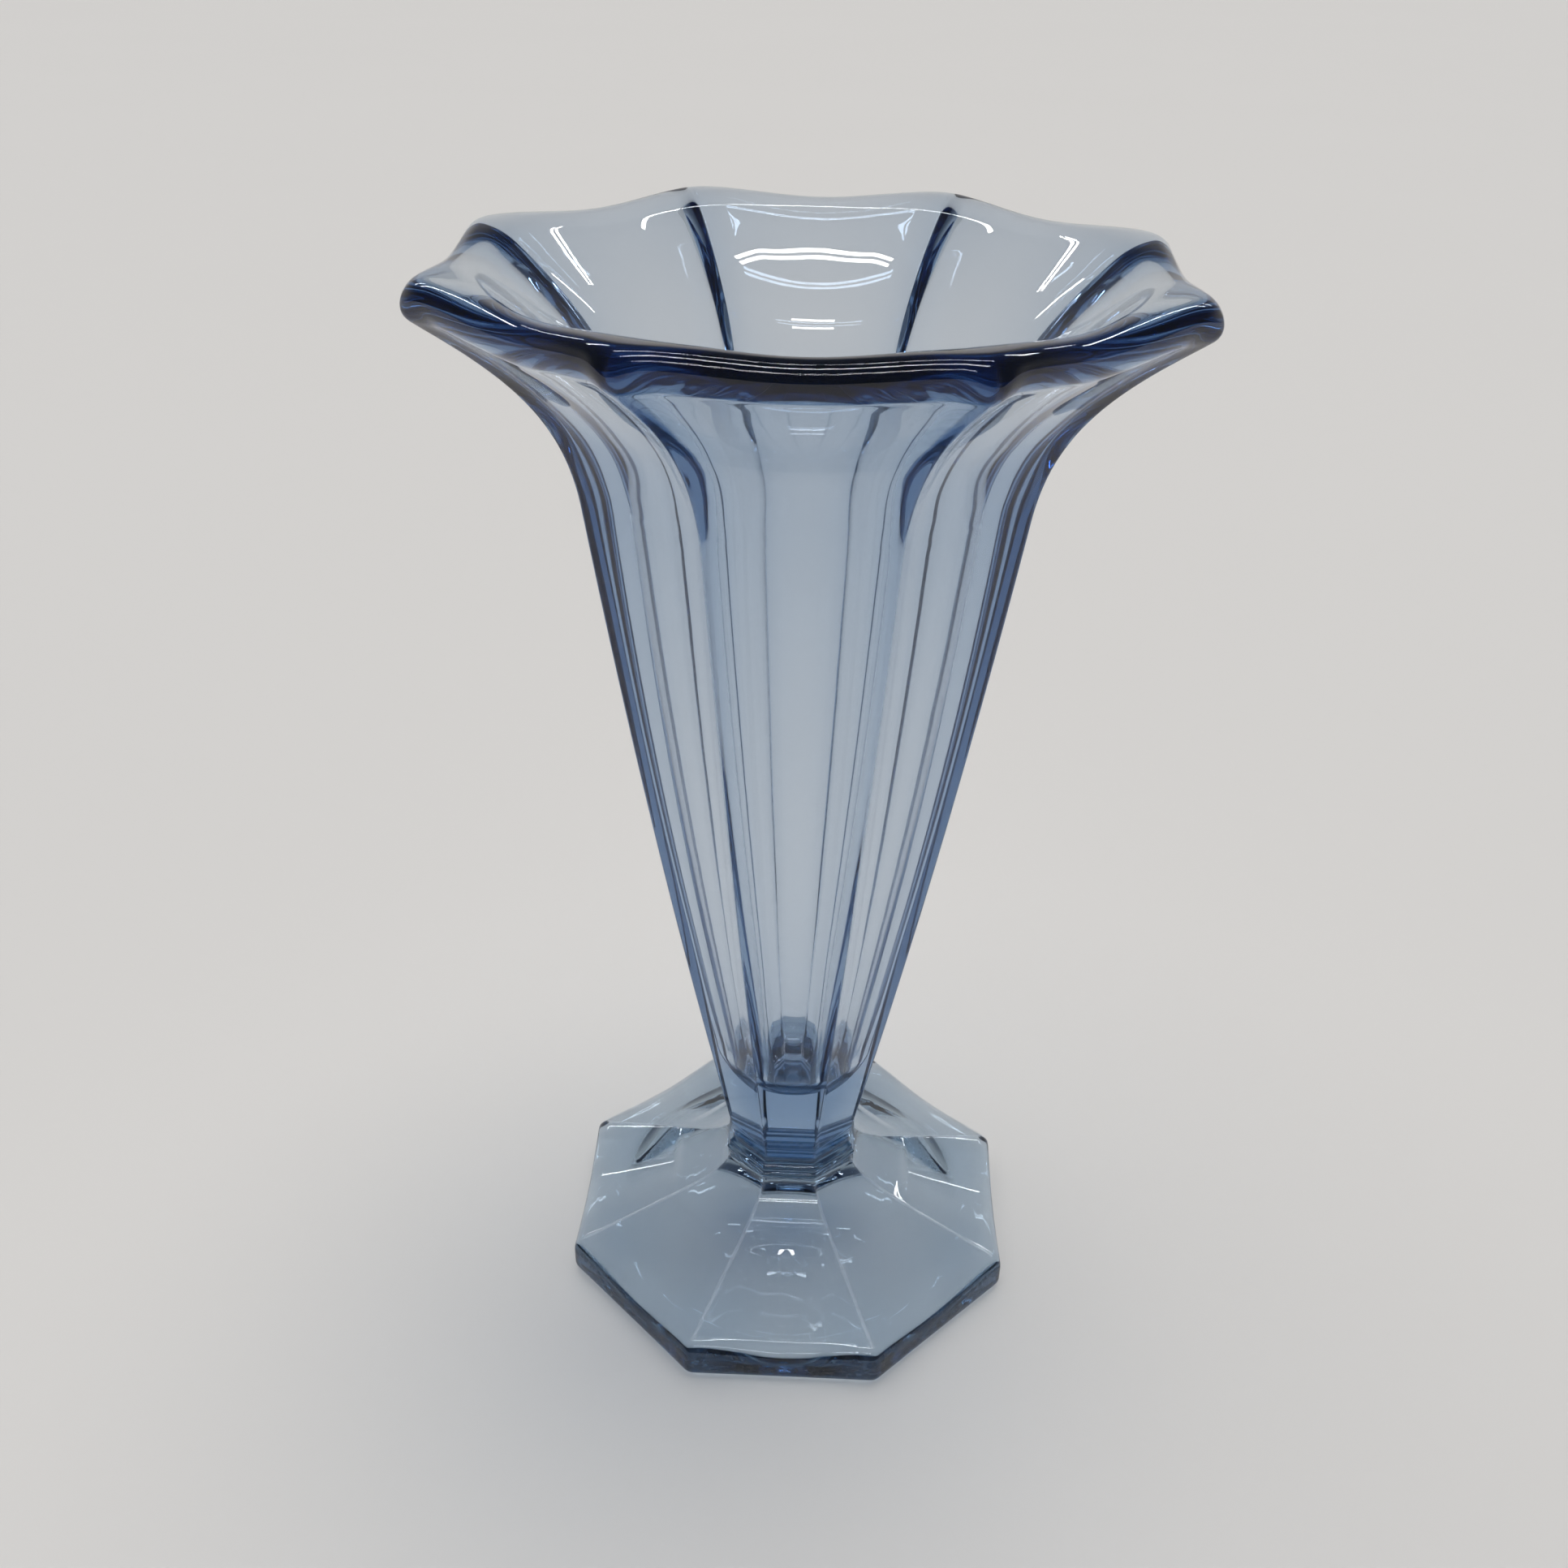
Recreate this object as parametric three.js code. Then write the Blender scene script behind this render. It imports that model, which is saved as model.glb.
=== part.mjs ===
// Trumpet vase in pale blue pressed glass, eight-sided from foot to rim.
// A fluted bowl with a flared mouth is joined hot, through a collar of glass, to a faceted foot.
// Millimetres, +Z up. The origin is the middle of the face that the foot rests on.

import * as THREE from 'three';

// Sides of the octagon that all three pieces share, with one side facing -Y
const PANELS = 8;
const HALF_PANEL = Math.PI / PANELS;

// Foot: a low pyramid with an upright edge, whose facets sweep up to the collar in a fillet.
// It is hollowed underneath inside its resting rim.
const FOOT_CORNER_RADIUS = 47.2;
const FOOT_EDGE_HEIGHT = 7.8;
const FOOT_EDGE_ROUNDING = 1.4;
const FOOT_SLOPE_HEIGHT = 14.6;
const FOOT_FACET_RISE = 10.8;
const FOOT_FILLET = 6.4;
const FOOT_REST_WIDTH = 6.5;
const FOOT_HOLLOW_DEPTH = 11.5;

// Collar: the wafer of glass between foot and bowl, with a small flange low on its side
const COLLAR_HEIGHT = 4.4;
const COLLAR_FLANGE = 0.9;
const COLLAR_FLANGE_HEIGHT = 1.6;

// Bowl, outside: radii are taken over the corners
const NECK_RADIUS = 12.9;
const CONE_HEIGHT = 137;
const CONE_TOP_RADIUS = 38.6;
const CONE_BOW = 1.2;
const FLARE_HEIGHT = 36.2;
const RIM_RADIUS = 62.5;
const RIM_ANGLE = THREE.MathUtils.degToRad(35);
const LIP_THICKNESS = 5.6;

// Bowl, ribs: a low ridge along each corner, fading out under the polished lip
const RIB_WIDTH = 9;
const RIB_HEIGHT = 1.2;
const RIB_FADE = 12;

// Bowl, inside: the wall is measured through the middle of a panel
const WALL = 7.2;
const BASE_THICKNESS = 15.2;
const CAVITY_TIP_RADIUS = 9.6;
const CAVITY_TIP_HEIGHT = 7;
const CAVITY_CORNER_SHARPNESS = 0.35;

// Bowl, flare: how far its curve keeps to the cone's heading, and to the rim's
const FLARE_LOW_PULL = 0.4;
const FLARE_HIGH_PULL = 0.7;

// Fineness of the round stretches, and the places across a panel where its flat is divided
const CURVE_STEPS = 7;
const LIP_STEPS = 4;
const FLAT_STOPS = [0.35, 0.65];
const WIDEST_RIB_SHARE = 0.2;

// Heights of the two hot joints
const FOOT_HEIGHT = FOOT_EDGE_HEIGHT + FOOT_SLOPE_HEIGHT;
const BOWL_BASE = FOOT_HEIGHT + COLLAR_HEIGHT;

function glass(color, roughness) {
  return new THREE.MeshStandardMaterial({ color, roughness, metalness: 0, transparent: true, opacity: 0.5 });
}

// Turns an outline about the axis in eight flat sides
function facetedSolid(outline) {
  const geometry = new THREE.LatheGeometry(outline, PANELS, HALF_PANEL);
  geometry.rotateX(Math.PI / 2);
  return geometry;
}

function footGeometry() {
  const seat = NECK_RADIUS + COLLAR_FLANGE / 2;
  const rounding = FOOT_EDGE_ROUNDING;
  const facetLow = new THREE.Vector2(FOOT_CORNER_RADIUS, FOOT_EDGE_HEIGHT);
  const facetHigh = new THREE.Vector2(seat, FOOT_EDGE_HEIGHT + FOOT_FACET_RISE);
  const slope = facetHigh.clone().sub(facetLow).normalize();
  const edgeEnd = facetLow.clone().addScaledVector(slope, rounding);
  const filletStart = facetHigh.clone().addScaledVector(slope, -FOOT_FILLET);
  const outline = new THREE.Path();
  outline.moveTo(0, FOOT_HOLLOW_DEPTH);
  outline.quadraticCurveTo(
    (FOOT_CORNER_RADIUS - FOOT_REST_WIDTH) / 2, FOOT_HOLLOW_DEPTH,
    FOOT_CORNER_RADIUS - FOOT_REST_WIDTH, 0,
  );
  outline.lineTo(FOOT_CORNER_RADIUS - rounding, 0);
  outline.quadraticCurveTo(FOOT_CORNER_RADIUS, 0, FOOT_CORNER_RADIUS, rounding);
  outline.lineTo(FOOT_CORNER_RADIUS, FOOT_EDGE_HEIGHT - rounding);
  outline.quadraticCurveTo(facetLow.x, facetLow.y, edgeEnd.x, edgeEnd.y);
  outline.lineTo(filletStart.x, filletStart.y);
  outline.quadraticCurveTo(facetHigh.x, facetHigh.y, seat, FOOT_HEIGHT);
  outline.lineTo(0, FOOT_HEIGHT);
  return facetedSolid(outline.getPoints(LIP_STEPS));
}

function collarGeometry() {
  const outline = new THREE.Path();
  outline.moveTo(0, 0);
  outline.lineTo(NECK_RADIUS + COLLAR_FLANGE / 2, 0);
  outline.lineTo(NECK_RADIUS + COLLAR_FLANGE, COLLAR_FLANGE_HEIGHT);
  outline.lineTo(NECK_RADIUS, COLLAR_HEIGHT);
  outline.lineTo(0, COLLAR_HEIGHT);
  return facetedSolid(outline.getPoints());
}

// Where the cone ends and the flare begins, and the middle of the round lip
const coneFoot = new THREE.Vector2(NECK_RADIUS, 0);
const coneTop = new THREE.Vector2(CONE_TOP_RADIUS, CONE_HEIGHT);
const coneMiddle = coneFoot.clone().lerp(coneTop, 0.5);
coneMiddle.x += 2 * CONE_BOW;
const crestHeight = CONE_HEIGHT + FLARE_HEIGHT;
const lipRadius = LIP_THICKNESS / 2;
const lipMiddle = new THREE.Vector2(RIM_RADIUS - lipRadius, crestHeight - lipRadius);
const coneHeading = coneTop.clone().sub(coneMiddle).normalize();
const rimHeading = new THREE.Vector2(Math.cos(RIM_ANGLE), Math.sin(RIM_ANGLE));

// One side of the flare, from the cone to the lip, as a curve that leaves both of them smoothly
function flareHandles(low, high, rim) {
  const lowHandle = low.clone().addScaledVector(coneHeading, FLARE_LOW_PULL * FLARE_HEIGHT);
  const highHandle = high.clone().addScaledVector(rim, -FLARE_HIGH_PULL * (high.x - low.x));
  return [lowHandle, highHandle];
}

// Outside of the bowl over a corner, from the joint to the inner edge of the lip
function outerOutline() {
  const lipUnderside = new THREE.Vector2(rimHeading.y, -rimHeading.x);
  const lipStart = lipMiddle.clone().addScaledVector(lipUnderside, lipRadius);
  const [lowHandle, highHandle] = flareHandles(coneTop, lipStart, rimHeading);
  const cone = new THREE.Path();
  cone.moveTo(0, 0);
  cone.lineTo(coneFoot.x, 0);
  cone.quadraticCurveTo(coneMiddle.x, coneMiddle.y, coneTop.x, coneTop.y);
  cone.bezierCurveTo(lowHandle.x, lowHandle.y, highHandle.x, highHandle.y, lipStart.x, lipStart.y);
  const lip = new THREE.Path();
  lip.absarc(lipMiddle.x, lipMiddle.y, lipRadius, RIM_ANGLE - Math.PI / 2, RIM_ANGLE + Math.PI / 2, false);
  return [...cone.getPoints(CURVE_STEPS), ...lip.getPoints(LIP_STEPS).slice(1)];
}

// Inside of the bowl through the middle of a panel, from the lip down to the tip of the cavity
function innerOutline(lipEnd) {
  const flat = Math.cos(HALF_PANEL);
  const high = new THREE.Vector2(lipEnd.x * flat, lipEnd.y);
  const low = new THREE.Vector2(coneTop.x * flat - WALL, CONE_HEIGHT);
  const rim = new THREE.Vector2(rimHeading.x * flat, rimHeading.y);
  const [lowHandle, highHandle] = flareHandles(low, high, rim);
  const cavity = new THREE.Path();
  cavity.moveTo(high.x, high.y);
  cavity.bezierCurveTo(highHandle.x, highHandle.y, lowHandle.x, lowHandle.y, low.x, low.y);
  const tipMiddle = BASE_THICKNESS + CAVITY_TIP_HEIGHT;
  cavity.lineTo(CAVITY_TIP_RADIUS, tipMiddle);
  cavity.absellipse(0, tipMiddle, CAVITY_TIP_RADIUS, CAVITY_TIP_HEIGHT, 0, -Math.PI / 2, true);
  return cavity.getPoints(CURVE_STEPS);
}

// Corners of one panel seen from above: the rib's top, its foot, and the flat between two ribs
function panelStops(radius) {
  const panelWidth = 2 * Math.max(radius, NECK_RADIUS) * Math.sin(HALF_PANEL);
  const ribShare = Math.min(RIB_WIDTH / 2 / panelWidth, WIDEST_RIB_SHARE);
  return [0, ribShare, ...FLAT_STOPS, 1 - ribShare];
}

// Turned like a lathe piece, then each ring is pressed into the octagon with its ribs
function bowlGeometry() {
  const outer = outerOutline();
  const inner = innerOutline(outer[outer.length - 1]).slice(1);
  const outline = [...outer, ...inner];
  const stopsPerPanel = panelStops(RIM_RADIUS).length;
  const columns = PANELS * stopsPerPanel;
  const geometry = new THREE.LatheGeometry(outline, columns);
  const position = geometry.attributes.position;
  for (let column = 0; column <= columns; column += 1) {
    const panel = Math.floor(column / stopsPerPanel);
    const stop = column % stopsPerPanel;
    outline.forEach((point, row) => {
      const share = panelStops(point.x)[stop];
      const turn = 2 * HALF_PANEL * share - HALF_PANEL;
      const angle = 2 * HALF_PANEL * (panel + share) + HALF_PANEL;
      const outside = row < outer.length;
      const radius = outside ? outerRadius(point, share, turn) : innerRadius(point, turn);
      const index = column * outline.length + row;
      position.setXYZ(index, radius * Math.cos(angle), radius * Math.sin(angle), point.y);
    });
  }
  geometry.computeVertexNormals();
  return geometry;
}

// A corner keeps the outline's radius, and the flats lie lower by the height of the rib
function outerRadius(point, share, turn) {
  const fade = THREE.MathUtils.smoothstep(crestHeight - point.y, 0, RIB_FADE);
  const onRib = share === 0 || point.x === 0;
  const flatCorner = onRib ? point.x : point.x - RIB_HEIGHT * fade;
  return flatCorner * Math.cos(HALF_PANEL) / Math.cos(turn);
}

// The cavity is an octagon at the lip, and its corners soften on the way down
function innerRadius(point, turn) {
  const nearLip = THREE.MathUtils.smoothstep(point.y, CONE_HEIGHT, crestHeight);
  const sharpness = THREE.MathUtils.lerp(CAVITY_CORNER_SHARPNESS, 1, nearLip);
  return point.x / Math.cos(turn) ** sharpness;
}

const foot = new THREE.Mesh(footGeometry(), glass(0x8fa3b4, 0.08));
foot.name = 'octagonal_foot';

const collar = new THREE.Mesh(collarGeometry(), glass(0x5f7d9e, 0.08));
collar.name = 'neck_collar';
collar.position.z = FOOT_HEIGHT;

const bowl = new THREE.Mesh(bowlGeometry(), glass(0xa9bccb, 0.05));
bowl.name = 'trumpet_bowl';
bowl.position.z = BOWL_BASE;

const vase = new THREE.Group();
vase.add(foot, collar, bowl);

export default vase;
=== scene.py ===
import math
from typing import NamedTuple

import bmesh
import bpy
from mathutils import Matrix, Vector


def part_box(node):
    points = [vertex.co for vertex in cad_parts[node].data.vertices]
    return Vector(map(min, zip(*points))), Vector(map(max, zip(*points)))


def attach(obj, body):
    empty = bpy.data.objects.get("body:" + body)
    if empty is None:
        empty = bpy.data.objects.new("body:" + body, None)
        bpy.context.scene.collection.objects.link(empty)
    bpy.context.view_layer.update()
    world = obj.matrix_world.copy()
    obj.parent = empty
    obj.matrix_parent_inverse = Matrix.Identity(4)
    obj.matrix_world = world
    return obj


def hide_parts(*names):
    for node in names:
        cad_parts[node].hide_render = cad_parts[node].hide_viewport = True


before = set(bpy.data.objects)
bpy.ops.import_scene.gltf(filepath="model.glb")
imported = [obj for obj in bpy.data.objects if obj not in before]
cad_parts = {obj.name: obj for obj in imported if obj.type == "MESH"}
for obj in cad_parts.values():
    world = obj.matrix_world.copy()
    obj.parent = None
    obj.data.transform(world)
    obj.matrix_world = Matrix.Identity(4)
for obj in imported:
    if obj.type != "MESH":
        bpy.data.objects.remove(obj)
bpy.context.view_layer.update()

# Camera: it stands close in front of the vase and looks down into the mouth.
# Its place, heading and lens are fitted to the foot's corners, the rim and both outlines.
IMAGE_SIDE = 1932
FOCAL_PIXELS = 1923
SENSOR_WIDTH = 36
NEAREST_SEEN = 0.01
CAMERA_PLACE = Vector((0.00439, -0.24315, 0.25035))
CAMERA_HEADING = math.radians(1.73)
CAMERA_DIP = math.radians(30.51)
CAMERA_ROLL = math.radians(1.09)

scene = bpy.context.scene
scene.view_settings.view_transform = "Standard"
camera = bpy.data.objects.new("camera", bpy.data.cameras.new("camera"))
camera.data.sensor_width = SENSOR_WIDTH
camera.data.lens = SENSOR_WIDTH * FOCAL_PIXELS / IMAGE_SIDE
camera.data.clip_start = NEAREST_SEEN
camera.matrix_world = (
    Matrix.Translation(CAMERA_PLACE)
    @ Matrix.Rotation(CAMERA_HEADING, 4, "Z")
    @ Matrix.Rotation(math.pi / 2 - CAMERA_DIP, 4, "X")
    @ Matrix.Rotation(CAMERA_ROLL, 4, "Z")
)
scene.collection.objects.link(camera)
scene.camera = camera

# Lamps: two broad suns light the floor softly from above and are not seen in the glass.
# Ceiling tubes hang in rows, some of them far back at the sides, and draw the streaks in the glass.
# A sun has a level, then its spread and leans in degrees. A tube has its place and length in metres.
SUNS = (
    ("overhead", 0.56, 70, -14, -6),
    ("lamp", 0.3, 32, -10, 8),
)
TUBES = (
    (0.0, -1.07, 0.5),
    (0.0, -0.93, 0.5),
    (0.0, -0.19, 0.95),
    (0.0, -0.13, 0.95),
    (0.0, 0.45, 1.1),
    (-1.0, 1.45, 0.7),
    (-1.0, 1.52, 0.7),
    (-1.5, 2.1, 0.7),
    (1.0, 1.45, 0.7),
    (1.0, 1.52, 0.7),
    (1.5, 2.1, 0.7),
)
TUBE_WIDTH = 0.034
TUBE_HEIGHT = 1.5
TUBE_RADIANCE = 24

for name, level, spread, lean_x, lean_y in SUNS:
    sun = bpy.data.objects.new(name, bpy.data.lights.new(name, "SUN"))
    sun.data.energy = level * math.pi
    sun.data.angle = math.radians(spread)
    sun.rotation_euler = (math.radians(lean_x), math.radians(lean_y), 0)
    sun.visible_glossy = False
    sun.visible_transmission = False
    scene.collection.objects.link(sun)

for place_x, place_y, length in TUBES:
    tube = bpy.data.objects.new("tube", bpy.data.lights.new("tube", "AREA"))
    tube.data.shape = "RECTANGLE"
    tube.data.size = length
    tube.data.size_y = TUBE_WIDTH
    tube.data.energy = TUBE_RADIANCE * math.pi * length * TUBE_WIDTH
    tube.location = (place_x, place_y, TUBE_HEIGHT)
    tube.visible_diffuse = False
    scene.collection.objects.link(tube)

# Room: a pale wall low behind the vase and a dim blue-grey everywhere else.
# The glass shows it mirrored on its faces and bent inside its thick edges.
WALL_LIGHT = (0.5, 0.49, 0.47, 1.0)
ROOM_LIGHT = (0.085, 0.1, 0.13, 1.0)
WALL_BACK = 0.5
WALL_LOW = 0.15
WALL_TOP = 0.5


class Wire:
    """A shader socket that takes part in sums."""

    def __init__(self, tree, socket=None):
        self.tree = tree
        self.socket = socket

    def node(self, kind, settings, inputs, output=0):
        made = self.tree.nodes.new(kind)
        for name, value in settings.items():
            setattr(made, name, value)
        for key, value in inputs.items():
            if isinstance(value, Wire):
                self.tree.links.new(value.socket, made.inputs[key])
            else:
                made.inputs[key].default_value = value
        return Wire(self.tree, made.outputs[output])

    def sum(self, operation, first, second):
        return self.node("ShaderNodeMath", {"operation": operation}, {0: first, 1: second})

    def __add__(self, other):
        return self.sum("ADD", self, other)

    def __radd__(self, other):
        return self.sum("ADD", other, self)

    def __sub__(self, other):
        return self.sum("SUBTRACT", self, other)

    def __rsub__(self, other):
        return self.sum("SUBTRACT", other, self)

    def __mul__(self, other):
        return self.sum("MULTIPLY", self, other)

    def __rmul__(self, other):
        return self.sum("MULTIPLY", other, self)

    def __gt__(self, other):
        return self.sum("GREATER_THAN", self, other)

    def __lt__(self, other):
        return self.sum("LESS_THAN", self, other)


SMOOTH = {"interpolation_type": "SMOOTHSTEP"}
COLOUR_MIX = {"data_type": "RGBA"}
COLOUR_RESULT = 2

world = bpy.data.worlds.new("room")
scene.world = world
world.use_nodes = True
world_wire = Wire(world.node_tree)
toward = world_wire.node("ShaderNodeTexCoord", {}, {}, "Generated")
toward_back = world_wire.node("ShaderNodeSeparateXYZ", {}, {"Vector": toward}, "Y")
toward_top = world_wire.node("ShaderNodeSeparateXYZ", {}, {"Vector": toward}, "Z")
behind = world_wire.node(
    "ShaderNodeMapRange", SMOOTH, {"Value": toward_back, "From Min": 0.0, "From Max": WALL_BACK},
)
below_top = world_wire.node(
    "ShaderNodeMapRange", SMOOTH, {"Value": toward_top, "From Min": WALL_TOP, "From Max": WALL_LOW},
)
room = world_wire.node(
    "ShaderNodeMix", COLOUR_MIX,
    {"Factor": behind * below_top, "A": ROOM_LIGHT, "B": WALL_LIGHT}, COLOUR_RESULT,
)
world.node_tree.links.new(room.socket, world.node_tree.nodes["Background"].inputs["Color"])

# Floor: pale matt paper with a faint grain that runs far out around the vase.
# It lies a hair's breadth under the foot, so that the two faces never coincide.
FLOOR_HALF = 12.0
FLOOR_GAP = 0.0003
FLOOR_CORNERS = ((-1, -1), (1, -1), (1, 1), (-1, 1))
PAPER = (0.7, 0.675, 0.64, 1.0)
PAPER_SHADE = (0.69, 0.665, 0.63, 1.0)
PAPER_GRAIN = {"Scale": 3.0, "Detail": 4.0}
PAPER_ROUGHNESS = 0.9
PAPER_GLOSS = 0.1

floor_mesh = bpy.data.meshes.new("paper_floor")
floor_mesh.from_pydata(
    [(x * FLOOR_HALF, y * FLOOR_HALF, -FLOOR_GAP) for x, y in FLOOR_CORNERS],
    [], [(0, 1, 2, 3)],
)
floor = bpy.data.objects.new("paper_floor", floor_mesh)
scene.collection.objects.link(floor)

paper = bpy.data.materials.new("paper_floor")
paper.use_nodes = True
paper_wire = Wire(paper.node_tree)
paper_place = paper_wire.node("ShaderNodeTexCoord", {}, {}, "Object")
paper_grain = paper_wire.node("ShaderNodeTexNoise", {}, {"Vector": paper_place, **PAPER_GRAIN})
paper_colour = paper_wire.node(
    "ShaderNodeMix", COLOUR_MIX,
    {"Factor": paper_grain, "A": PAPER, "B": PAPER_SHADE}, COLOUR_RESULT,
)
paper_shader = paper.node_tree.nodes["Principled BSDF"]
paper.node_tree.links.new(paper_colour.socket, paper_shader.inputs["Base Color"])
paper_shader.inputs["Roughness"].default_value = PAPER_ROUGHNESS
paper_shader.inputs["Specular IOR Level"].default_value = PAPER_GLOSS
floor_mesh.materials.append(paper)

# Foot: a low eight-sided pyramid of pressed glass that the vase stands on, hollowed underneath.
# It comes out of its mould with rounded edges, and the collar is stuck onto it while both are hot.
# Like the other pieces it is one panel, drawn in millimetres and set eight times round the axis.
MM = 0.001
PANELS = 8
HALF_PANEL = math.pi / PANELS
FLANK_CURVE = 1.4
BORE_SHARPNESS = 0.36
BORE_CORNER = math.radians(14)
BORE_EASE = 0.51
RAGGED_BEADS = (5, 8, 13)
# Width of the pale band along an arris: worn glass, and partly a painted highlight.
WEAR_AND_HIGHLIGHT_WIDTH = 0.4


def curve(handles, steps):
    """Points along a Bezier curve that its handles draw, without the last one."""
    points = []
    for step in range(steps):
        share = step / steps
        reached = [Vector(handle) for handle in handles]
        while len(reached) > 1:
            reached = [a.lerp(b, share) for a, b in zip(reached, reached[1:])]
        points.append(reached[0])
    return points


class Level(NamedTuple):
    """One level of a panel in millimetres: its flat radius and height, then how it is pressed.

    The corner has a rounding, and the middle is scooped in and dips. A rib has flanks and a crown.
    Bore is how far the level follows the plunger instead of the mould. Ragged is the height of a
    seam's beads. Wear runs along the corner: worn glass, and partly a painted highlight, pale
    rubbed lines that stand in for reflections along the arrises. Scuff lies all over.
    """

    flat: float
    height: float
    rounding: float = 0.0
    scoop: float = 0.0
    dip: float = 0.0
    rib: float = 0.0
    flank: float = 1.0
    crown: float = 0.0
    bore: float = 0.0
    ragged: float = 0.0
    wear_and_highlight: float = 0.0
    scuff: float = 0.0


def rounded_flat(flat, rounding, turn):
    """Radius of an octagon with round corners, at an angle from the middle of its side."""
    reach = (flat - rounding) / math.cos(HALF_PANEL)
    if flat * math.tan(abs(turn)) <= (flat - rounding) * math.tan(HALF_PANEL):
        return flat / math.cos(turn)
    away = HALF_PANEL - abs(turn)
    return reach * math.cos(away) + math.sqrt(max(rounding ** 2 - (reach * math.sin(away)) ** 2, 0.0))


def level_point(level, turn):
    """Place of a panel's surface on a level, at an angle from the middle of the panel."""
    share = math.tan(abs(turn)) / math.tan(HALF_PANEL)
    from_arris = (1 - share) * level.flat * math.tan(HALF_PANEL)
    past_crown = math.hypot(from_arris, level.crown) - level.crown
    up_flank = max(1 - past_crown / level.flank, 0.0)
    pressed = rounded_flat(level.flat, min(level.rounding, level.flat), turn)
    pressed -= level.scoop * (1 - share ** 2) + level.rib * (1 - up_flank ** FLANK_CURVE)
    in_corner = max(abs(turn) - BORE_CORNER, 0.0)
    bored = level.flat * (math.cos(turn) ** -BORE_SHARPNESS - BORE_EASE * in_corner ** 2)
    radius = pressed + (bored - pressed) * level.bore
    sag = 0.5 + 0.5 * math.cos(math.pi * turn / HALF_PANEL)
    beads = sum(math.sin(count * math.pi * turn / HALF_PANEL + count) for count in RAGGED_BEADS)
    height = level.height - level.dip * sag + level.ragged * (1 - share ** 2) * beads
    return radius * math.sin(turn) * MM, -radius * math.cos(turn) * MM, height * MM


def worn_and_highlit(level, turn):
    """How worn a panel is on a level: all over by its scuffs, and more along its arris, where the pale
    wear is also a painted highlight.
    """
    from_arris = level.flat * (math.tan(HALF_PANEL) - math.tan(abs(turn)))
    return level.scuff + level.wear_and_highlight * math.exp(-(from_arris / WEAR_AND_HIGHLIGHT_WIDTH) ** 2)


def panel_mesh(name, levels, columns):
    """One of the eight panels, skinned from level to level."""
    made = bmesh.new()
    wear_and_highlight = made.verts.layers.float.new("wear_and_highlight")
    evenly = [2 * step / columns - 1 for step in range(columns + 1)]
    near_arris = [math.sin(math.pi / 2 * share) for share in evenly]
    rings = []
    for level in levels:
        turns = [HALF_PANEL * (a + (b - a) * level.bore) for a, b in zip(near_arris, evenly)]
        if level.flat == 0:
            rings.append([made.verts.new((0.0, 0.0, level.height * MM))])
        else:
            rings.append([made.verts.new(level_point(level, turn)) for turn in turns])
            for vertex, turn in zip(rings[-1], turns):
                vertex[wear_and_highlight] = worn_and_highlit(level, turn)
    for low, high in zip(rings, rings[1:]):
        for column in range(columns):
            if len(low) == 1:
                made.faces.new((low[0], high[column + 1], high[column]))
            elif len(high) == 1:
                made.faces.new((low[column], low[column + 1], high[0]))
            else:
                made.faces.new((low[column], low[column + 1], high[column + 1], high[column]))
    mesh = bpy.data.meshes.new(name)
    made.to_mesh(mesh)
    made.free()
    return mesh


def all_round_tree():
    """Geometry nodes that set one panel round the axis and weld the copies into a closed body."""
    tree = bpy.data.node_groups.new("all_round", "GeometryNodeTree")
    kinds = {"Panel": "Geometry", "Panels": "Int", "Weld": "Float", "Glass": "Material"}
    sockets = {}
    for label, kind in kinds.items():
        socket = tree.interface.new_socket(label, in_out="INPUT", socket_type="NodeSocket" + kind)
        sockets[label] = socket.identifier
    tree.interface.new_socket("Body", in_out="OUTPUT", socket_type="NodeSocketGeometry")
    nodes, links = tree.nodes, tree.links
    given = nodes.new("NodeGroupInput")
    spots = nodes.new("GeometryNodeMeshLine")
    spots.inputs["Offset"].default_value = (0.0, 0.0, 0.0)
    links.new(given.outputs["Panels"], spots.inputs["Count"])
    step = nodes.new("ShaderNodeMath")
    step.operation = "DIVIDE"
    step.inputs[0].default_value = 2 * math.pi
    links.new(given.outputs["Panels"], step.inputs[1])
    angle = nodes.new("ShaderNodeMath")
    angle.operation = "MULTIPLY"
    links.new(nodes.new("GeometryNodeInputIndex").outputs[0], angle.inputs[0])
    links.new(step.outputs[0], angle.inputs[1])
    turn = nodes.new("FunctionNodeAxisAngleToRotation")
    turn.inputs["Axis"].default_value = (0.0, 0.0, 1.0)
    links.new(angle.outputs[0], turn.inputs["Angle"])
    copies = nodes.new("GeometryNodeInstanceOnPoints")
    links.new(spots.outputs[0], copies.inputs["Points"])
    links.new(given.outputs["Panel"], copies.inputs["Instance"])
    links.new(turn.outputs[0], copies.inputs["Rotation"])
    real = nodes.new("GeometryNodeRealizeInstances")
    links.new(copies.outputs[0], real.inputs[0])
    weld = nodes.new("GeometryNodeMergeByDistance")
    links.new(real.outputs[0], weld.inputs["Geometry"])
    links.new(given.outputs["Weld"], weld.inputs["Distance"])
    smooth = nodes.new("GeometryNodeSetShadeSmooth")
    links.new(weld.outputs[0], smooth.inputs["Geometry"])
    finish = nodes.new("GeometryNodeSetMaterial")
    links.new(smooth.outputs[0], finish.inputs["Geometry"])
    links.new(given.outputs["Glass"], finish.inputs["Material"])
    out = nodes.new("NodeGroupOutput")
    links.new(finish.outputs[0], out.inputs[0])
    return tree, sockets


all_round, all_round_sockets = all_round_tree()
WELD = 2e-6


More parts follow.
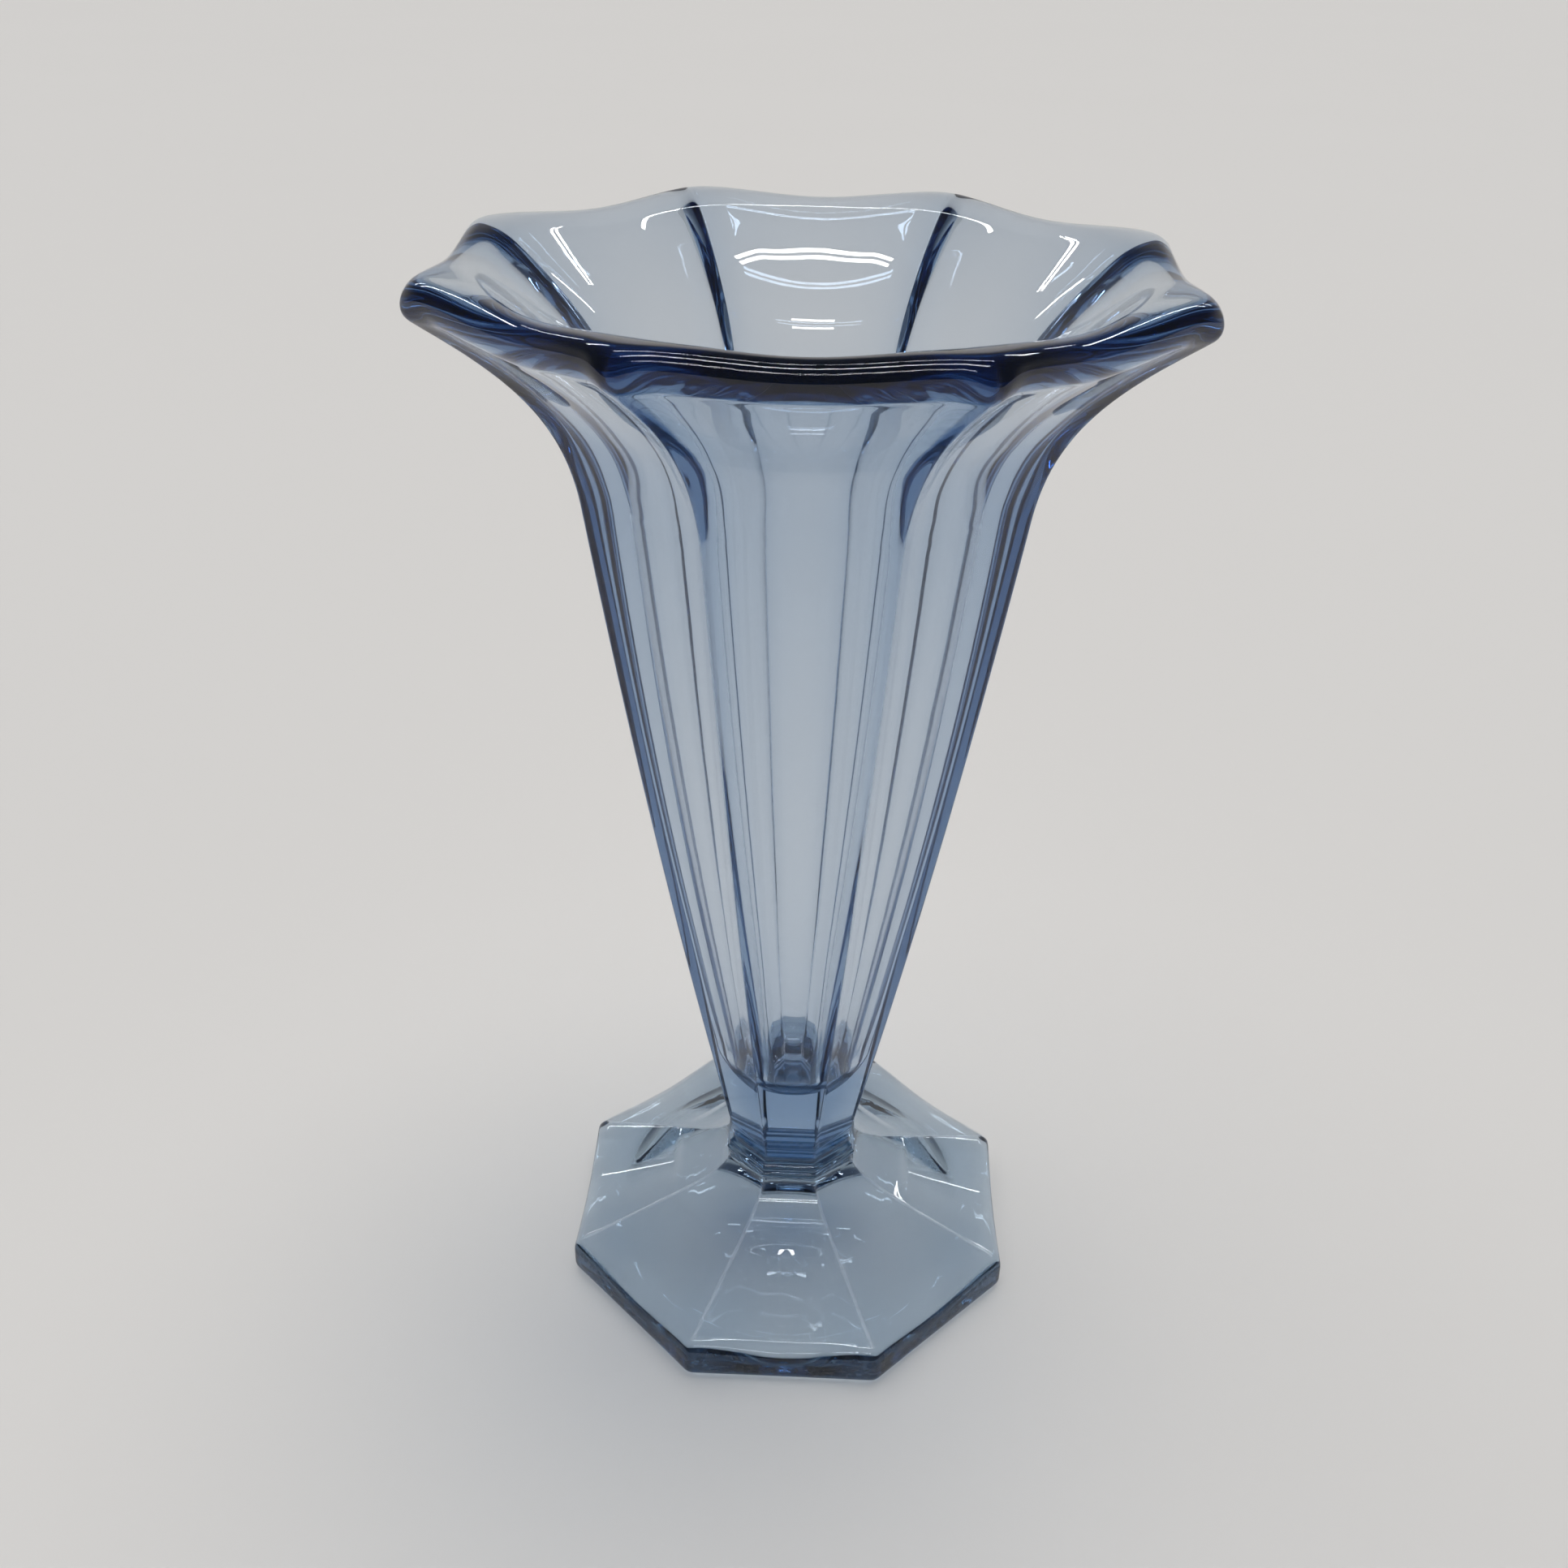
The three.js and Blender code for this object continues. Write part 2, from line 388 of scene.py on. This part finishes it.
def pressed_piece(name, levels, columns, glass):
    """A closed body of eight like panels, as a plain mesh at the origin."""
    seed = bpy.data.objects.new(name + "_panel", panel_mesh(name + "_panel", levels, columns))
    scene.collection.objects.link(seed)
    modifier = seed.modifiers.new("all_round", "NODES")
    modifier.node_group = all_round
    modifier[all_round_sockets["Panels"]] = PANELS
    modifier[all_round_sockets["Weld"]] = WELD
    modifier[all_round_sockets["Glass"]] = glass
    graph = bpy.context.evaluated_depsgraph_get()
    mesh = bpy.data.meshes.new_from_object(seed.evaluated_get(graph))
    mesh.name = name
    bpy.data.objects.remove(seed)
    piece = bpy.data.objects.new(name, mesh)
    scene.collection.objects.link(piece)
    return piece


GLASS_IOR = 1.52
GLASS_BOUNCES = 40
MIRROR_BOUNCES = 24
SHADOW_CLEAR = 0.85
TINT = (0.985, 0.99, 0.995, 1.0)
UNTINTED = (1.0, 1.0, 1.0, 1.0)
CLOUD = {"Scale": 60.0, "Detail": 3.0}
SPECKS = {"Scale": 900.0, "Detail": 2.0}
RIPPLES = {"Scale": 110.0, "Detail": 1.0}
RIPPLE_DEPTH = {"Strength": 0.06, "Distance": 0.0003}
CLOUD_ROUGHNESS = 0.03
WORN_ROUGHNESS = 0.08
# Pale rough glass mixed in by the wear: scuffs and dust, and along arrises and ridges a painted highlight.
RUBBED_AND_HIGHLIGHT = {"Base Color": (0.8, 0.82, 0.84, 1.0), "Roughness": 0.6}
RUBBED_AND_HIGHLIGHT_SHARE = 0.6
NO_JOINT = 1.0

scene.cycles.max_bounces = GLASS_BOUNCES
scene.cycles.transmission_bounces = GLASS_BOUNCES
scene.cycles.transparent_max_bounces = GLASS_BOUNCES
scene.cycles.glossy_bounces = MIRROR_BOUNCES


def blue_glass(name, tone, density, lowest=-NO_JOINT, highest=NO_JOINT):
    """Pale blue pressed glass. It has no face below and above two heights, where it is fused on."""
    made = bpy.data.materials.new(name)
    made.use_nodes = True
    tree = made.node_tree
    wire = Wire(tree)
    shader = tree.nodes["Principled BSDF"]
    shader.inputs["Transmission Weight"].default_value = 1.0
    shader.inputs["IOR"].default_value = GLASS_IOR
    place = wire.node("ShaderNodeTexCoord", {}, {}, "Object")
    cloud = wire.node("ShaderNodeTexNoise", {}, {"Vector": place, **CLOUD})
    speck = wire.node("ShaderNodeTexNoise", {}, {"Vector": place, **SPECKS})
    ripple = wire.node("ShaderNodeTexNoise", {}, {"Vector": place, **RIPPLES})
    wear_and_highlight = wire.node("ShaderNodeAttribute", {"attribute_name": "wear_and_highlight"}, {}, "Fac")
    # Rubbed glass where the panels carry wear: real scuffs and dust, and pale lines along arrises and
    # ridges that are painted highlights.
    rub_and_highlight = wear_and_highlight * speck
    tint = wire.node(
        "ShaderNodeMix", COLOUR_MIX, {"Factor": cloud, "A": TINT, "B": UNTINTED}, COLOUR_RESULT,
    )
    tree.links.new(tint.socket, shader.inputs["Base Color"])
    tree.links.new((cloud * CLOUD_ROUGHNESS + rub_and_highlight * WORN_ROUGHNESS).socket, shader.inputs["Roughness"])
    bump = wire.node("ShaderNodeBump", {}, {"Height": ripple + rub_and_highlight, **RIPPLE_DEPTH})
    tree.links.new(bump.socket, shader.inputs["Normal"])
    height = wire.node("ShaderNodeSeparateXYZ", {}, {"Vector": place}, "Z")
    faced = (height > lowest) * (height < highest)
    shadow = wire.node("ShaderNodeLightPath", {}, {}, "Is Shadow Ray")
    tree.links.new((faced * (1 - shadow * SHADOW_CLEAR)).socket, shader.inputs["Alpha"])
    clear = Wire(tree, shader.outputs["BSDF"])
    rubbed_and_highlight = wire.node("ShaderNodeBsdfPrincipled", {}, RUBBED_AND_HIGHLIGHT)
    body = wire.node("ShaderNodeMixShader", {}, {0: rub_and_highlight * RUBBED_AND_HIGHLIGHT_SHARE, 1: clear, 2: rubbed_and_highlight})
    volume = wire.node("ShaderNodeVolumeAbsorption", {}, {"Color": tone, "Density": density})
    output = tree.nodes["Material Output"]
    tree.links.new(body.socket, output.inputs["Surface"])
    tree.links.new(volume.socket, output.inputs["Volume"])
    return made


foot_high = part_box("octagonal_foot")[1]
foot_flat = foot_high.x / MM
foot_top = foot_high.z / MM
FOOT_TONE = (0.628, 0.72, 0.795, 1.0)
FOOT_DENSITY = 112.0
FOOT_COLUMNS = 24
JOINT_SKIN = 0.00002
FOOT_EDGE = 7.2
FOOT_REST = 7.5
FOOT_SCOOP = 0.5
FOOT_DIP = 0.9
DIP_AT_SEAT = 0.4
EDGE_ROUND = 2.2
EDGE_STEPS = 8
UPRIGHT_STEPS = 6
CORNER_ROUND = 2.6
CORNER_FADE = 6
RIDGE_ROUND = 0.4
# Wear on the foot's ridges whitens them: worn glass, and partly a painted highlight for their pale lines.
RIDGE_WEAR_AND_HIGHLIGHT = 0.7
HOLLOW_DEPTH = 11.5
HOLLOW_TOP = 0.4
HOLLOW_RUN = 0.6
HOLLOW_RISE = 0.8
HOLLOW_EDGE = 2.0
HOLLOW_STEPS = 32
HOLLOW_EDGE_STEPS = 10
HOLLOW_DUST = 0.05
REST_STEPS = 4
REST_WEAR = 0.1
FACET_RISE = 10.6
FACET_STEPS = 24
FACET_WEAR = 0.06
SEAT_FLAT = 12.3
SEAT_FILLET = 12.0
FILLET_STEPS = 16
SEAT_STEPS = 3
SEAM_DEPTH = 2.0
SEAM_RAGGED = 0.12


def foot_levels():
    """Levels of the foot's panel, from the middle of its hollow round the edge and up to its seat."""
    hollow = foot_flat - FOOT_REST
    hollow_heading = Vector((-hollow * HOLLOW_RUN, HOLLOW_DEPTH * HOLLOW_RISE)).normalized()
    hollow_end = Vector((hollow, 0)) + hollow_heading * HOLLOW_EDGE
    rest_start = (hollow + HOLLOW_EDGE, 0)
    rest_end = (foot_flat - EDGE_ROUND, 0)
    upright_low = (foot_flat, EDGE_ROUND)
    upright_high = (foot_flat, FOOT_EDGE - EDGE_ROUND)
    facet_low = Vector((foot_flat, FOOT_EDGE))
    facet_high = Vector((SEAT_FLAT, FOOT_EDGE + FACET_RISE))
    slope = (facet_high - facet_low).normalized()
    facet_start = facet_low + slope * EDGE_ROUND
    fillet_start = facet_high - slope * SEAT_FILLET
    seat_edge = (SEAT_FLAT, foot_top)
    under = curve([(0, HOLLOW_DEPTH), (hollow * HOLLOW_TOP, HOLLOW_DEPTH), hollow_end], HOLLOW_STEPS)
    under += curve([hollow_end, (hollow, 0), rest_start], HOLLOW_EDGE_STEPS)
    rest = curve([rest_start, rest_end], REST_STEPS)
    edge = curve([rest_end, (foot_flat, 0), upright_low], EDGE_STEPS)
    edge += curve([upright_low, upright_high], UPRIGHT_STEPS)
    edge += curve([upright_high, facet_low, facet_start], EDGE_STEPS)
    facet = curve([facet_start, fillet_start], FACET_STEPS)
    fillet = curve([fillet_start, facet_high, seat_edge], FILLET_STEPS)
    seat = curve([seat_edge, (0, foot_top)], SEAT_STEPS)

    levels = [Level(0, HOLLOW_DEPTH)]
    levels += [Level(point.x, point.y, point.x, scuff=HOLLOW_DUST) for point in under[1:]]
    for point in rest:
        out = (point.x - hollow) / (FOOT_REST - EDGE_ROUND)
        rounding = point.x + (CORNER_ROUND - point.x) * out
        levels.append(Level(point.x, point.y, rounding, scuff=REST_WEAR))
    for point in edge:
        up = point.y / FOOT_EDGE
        levels.append(Level(point.x, point.y, CORNER_ROUND, scoop=FOOT_SCOOP * up, dip=FOOT_DIP * up * up))
    for point in facet:
        near_edge = (point.x - SEAT_FLAT) / (foot_flat - SEAT_FLAT)
        levels.append(Level(
            point.x, point.y,
            rounding=RIDGE_ROUND + (CORNER_ROUND - RIDGE_ROUND) * near_edge ** CORNER_FADE,
            scoop=FOOT_SCOOP * near_edge,
            dip=FOOT_DIP * (DIP_AT_SEAT + (1 - DIP_AT_SEAT) * near_edge),
            wear_and_highlight=RIDGE_WEAR_AND_HIGHLIGHT,
            scuff=FACET_WEAR,
        ))
    for point in fillet:
        seam = max(1 - (foot_top - point.y) / SEAM_DEPTH, 0.0)
        ragged = SEAM_RAGGED * 4 * seam * (1 - seam)
        levels.append(Level(point.x, point.y, RIDGE_ROUND, ragged=ragged, wear_and_highlight=RIDGE_WEAR_AND_HIGHLIGHT * (1 - seam)))
    levels += [Level(point.x, point.y, RIDGE_ROUND) for point in seat]
    levels.append(Level(0, foot_top))
    return levels


foot = pressed_piece(
    "octagonal_foot_glass", foot_levels(), FOOT_COLUMNS,
    blue_glass("foot_glass", FOOT_TONE, FOOT_DENSITY, highest=foot_high.z - JOINT_SKIN),
)
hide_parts("octagonal_foot")
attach(foot, "root")

# Collar: a wafer of the same glass between foot and bowl, squeezed into a small flange and a step.
# It is gathered hot, stuck to the foot, and the bowl is pressed down onto it.
collar_low, collar_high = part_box("neck_collar")
COLLAR_TONE = (0.61, 0.735, 0.85, 1.0)
COLLAR_DENSITY = 320.0
COLLAR_COLUMNS = 24
JOINT_GAP = 0.01
AXIS_GAP = 0.2
CAP_STEPS = 4
COLLAR_STEP = 1.3
FLANGE_FLAT = 13.0
FLANGE_LIFT = 0.1
FLANGE_STEPS = 8
GROOVE_DEPTH = 0.3
GROOVE_RISE = 0.39
STEP_FLAT = 12.5
STEP_LEAN = 0.1
SHOULDER_LOW = 0.26
SHOULDER_HIGH = 0.39
SHOULDER_STEPS = 12
NECK_FLAT = 11.6


def collar_levels():
    """Levels of the collar's panel, from the middle of its lower face to that of its upper one."""
    low = collar_low.z / MM + JOINT_GAP
    high = collar_high.z / MM - JOINT_GAP
    flange_top = low + COLLAR_STEP
    step_top = flange_top + COLLAR_STEP
    flange = (FLANGE_FLAT, flange_top)
    groove = (STEP_FLAT - GROOVE_DEPTH, flange_top + GROOVE_RISE)
    step = (STEP_FLAT, step_top)
    shoulder_low = (STEP_FLAT - STEP_LEAN, step_top + SHOULDER_LOW)
    shoulder_high = (NECK_FLAT, step_top + SHOULDER_HIGH)
    outline = curve([(AXIS_GAP, low), (SEAT_FLAT, low)], CAP_STEPS)
    outline += curve([(SEAT_FLAT, low), (FLANGE_FLAT, low + FLANGE_LIFT), flange], FLANGE_STEPS)
    outline += curve([flange, groove, step], FLANGE_STEPS)
    outline += curve([step, shoulder_low, shoulder_high, (NECK_FLAT, high)], SHOULDER_STEPS)
    outline += curve([(NECK_FLAT, high), (AXIS_GAP, high)], CAP_STEPS)
    levels = [Level(0, low)]
    levels += [Level(point.x, point.y, RIDGE_ROUND) for point in outline]
    levels.append(Level(0, high))
    return levels


collar = pressed_piece(
    "neck_collar_glass", collar_levels(), COLLAR_COLUMNS,
    blue_glass("collar_glass", COLLAR_TONE, COLLAR_DENSITY,
               lowest=collar_low.z + JOINT_SKIN, highest=collar_high.z - JOINT_SKIN),
)
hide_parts("neck_collar")
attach(collar, "root")

# Bowl: the eight-sided trumpet with a flared mouth, pressed between a ribbed mould and a plunger.
# Its lip is melted round afterwards, which also fades the corner ribs out below it.
bowl_low, bowl_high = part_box("trumpet_bowl")
bowl_base = bowl_low.z / MM
crest = bowl_high.z / MM
rim_flat = bowl_high.x / MM
BOWL_TONE = (0.6, 0.714, 0.832, 1.0)
BOWL_DENSITY = 122.0
BOWL_COLUMNS = 44
CONE_TOP = 163.8
CONE_TOP_FLAT = 34.8
CONE_BOW = 1.1
CONE_PULL = 0.4
CONE_STEPS = 40
FLARE_STEPS = 60
RIM_ANGLE = math.radians(36)
RIM_ANGLE_INSIDE = math.radians(38)
RIM_PULL = 0.7
RIM_PULL_INSIDE = 0.6
RIM_DIP = 1.3
RIM_DIP_DEPTH = 34.0
RIM_SCOOP = 0.7
LIP = 3.2
LIP_INSIDE = 9.0
LIP_ROUND = 11.0
LIP_BLEND = 7.5
LIP_STEPS = 16
FLANK_START = 0.1
FLANK_START_RAMP = 60.0
FLANK_LOW = 3.2
FLANK_HIGH = 4.4
WIDE_FROM = 172.0
WIDE_RAMP = 24.0
FLANK_SLOPE_LOW = 0.18
FLANK_SLOPE_HIGH = 0.36
STEEP_FROM = 170.0
STEEP_RAMP = 10.0
ARRIS_ROUND = 0.4
# Wear on the bowl's arrises: worn, pitted glass, and partly a painted highlight for their pale lines.
ARRIS_WEAR_AND_HIGHLIGHT = 0.25
CROWN_LOW = 0.3
CROWN_HIGH = 1.6
CROWN_BLEND = 12.0
WALL = 7.2
INNER_LIFT = 1.0
CAVITY_BOW = 2.1
CAVITY_FLOOR = 42.0
CAVITY_DUST = 0.04
TIP_FLAT = 10.6
TIP_HEIGHT = 7.0
TIP_STEPS = 20


def eased(value):
    """A soft rise from 0 to 1 that stays level before and after."""
    value = min(max(value, 0.0), 1.0)
    return value * value * (3 - 2 * value)


def arc(middle, reach_x, reach_y, start, end, steps):
    """Points along an arc that reaches so far sideways and upwards, without the last one."""
    points = []
    for step in range(steps):
        angle = start + (end - start) * step / steps
        points.append(middle + Vector((reach_x * math.cos(angle), reach_y * math.sin(angle))))
    return points


def bowl_levels():
    """Levels of the bowl's panel, from the joint up the outside, over the lip and down the cavity."""
    quarter = math.pi / 2
    cone_foot = Vector((NECK_FLAT, bowl_base))
    cone_top = Vector((CONE_TOP_FLAT, CONE_TOP))
    cone_middle = (cone_foot + cone_top) / 2 + Vector((2 * CONE_BOW, 0))
    onward = (cone_top - cone_middle).normalized() * CONE_PULL * (crest - CONE_TOP)
    rim = Vector((math.cos(RIM_ANGLE), math.sin(RIM_ANGLE)))
    rim_inside = Vector((math.cos(RIM_ANGLE_INSIDE), math.sin(RIM_ANGLE_INSIDE)))
    lip_middle = Vector((rim_flat - LIP, crest - LIP))
    lip_start = lip_middle + LIP * Vector((rim.y, -rim.x))
    inside_middle = Vector((lip_middle.x, crest - LIP_INSIDE))
    lip_end = inside_middle + LIP_INSIDE * Vector((-rim_inside.y, rim_inside.x))
    inner_top = Vector((CONE_TOP_FLAT - WALL, CONE_TOP + INNER_LIFT))
    tip_top = Vector((TIP_FLAT, CAVITY_FLOOR + TIP_HEIGHT))
    inner_middle = (inner_top + tip_top) / 2 + Vector((2 * CAVITY_BOW, 0))
    rim_handle = lip_start - rim * RIM_PULL * (lip_start.x - cone_top.x)
    inner_rim_handle = lip_end - rim_inside * RIM_PULL_INSIDE * (lip_end.x - inner_top.x)
    base = curve([(AXIS_GAP, bowl_base), cone_foot], CAP_STEPS)
    wall = curve([cone_foot, cone_middle, cone_top], CONE_STEPS)
    wall += curve([cone_top, cone_top + onward, rim_handle, lip_start], FLARE_STEPS)
    lip = arc(lip_middle, LIP, LIP, RIM_ANGLE - quarter, quarter, LIP_STEPS)
    lip += arc(inside_middle, LIP_INSIDE, LIP_INSIDE, quarter, quarter + RIM_ANGLE_INSIDE, LIP_STEPS)
    cavity = curve([lip_end, inner_rim_handle, inner_top + onward, inner_top], FLARE_STEPS)
    cavity += curve([inner_top, inner_middle, tip_top], CONE_STEPS)
    cavity += arc(Vector((0, tip_top.y)), TIP_FLAT, TIP_HEIGHT, 0, -quarter, TIP_STEPS)

    levels = [Level(0, bowl_base)]
    levels += [Level(point.x, point.y, ARRIS_ROUND) for point in base]
    for step, point in enumerate(wall + lip):
        to_crest = crest - point.y
        below_lip = eased(to_crest / LIP_BLEND)
        flank = FLANK_START + FLANK_LOW * eased((point.y - bowl_base) / FLANK_START_RAMP)
        flank += (FLANK_HIGH - FLANK_LOW) * eased((point.y - WIDE_FROM) / WIDE_RAMP)
        slope = FLANK_SLOPE_LOW
        slope += (FLANK_SLOPE_HIGH - FLANK_SLOPE_LOW) * eased((point.y - STEEP_FROM) / STEEP_RAMP)
        levels.append(Level(
            point.x, point.y,
            rounding=LIP_ROUND + (ARRIS_ROUND - LIP_ROUND) * below_lip,
            scoop=RIM_SCOOP * (1 - below_lip),
            dip=RIM_DIP * eased(1 - to_crest / RIM_DIP_DEPTH),
            rib=slope * flank * below_lip,
            flank=flank,
            crown=CROWN_LOW + (CROWN_HIGH - CROWN_LOW) * eased(1 - to_crest / CROWN_BLEND),
            bore=eased((step - len(wall)) / len(lip) * 2 - 1),
            wear_and_highlight=ARRIS_WEAR_AND_HIGHLIGHT * below_lip,
        ))
    for point in cavity:
        dip = RIM_DIP * eased(1 - (crest - point.y) / RIM_DIP_DEPTH)
        levels.append(Level(point.x, point.y, dip=dip, bore=1.0, scuff=CAVITY_DUST))
    levels.append(Level(0, CAVITY_FLOOR))
    return levels


bowl = pressed_piece(
    "trumpet_bowl_glass", bowl_levels(), BOWL_COLUMNS,
    blue_glass("bowl_glass", BOWL_TONE, BOWL_DENSITY, lowest=bowl_low.z + JOINT_SKIN),
)
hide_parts("trumpet_bowl")
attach(bowl, "root")
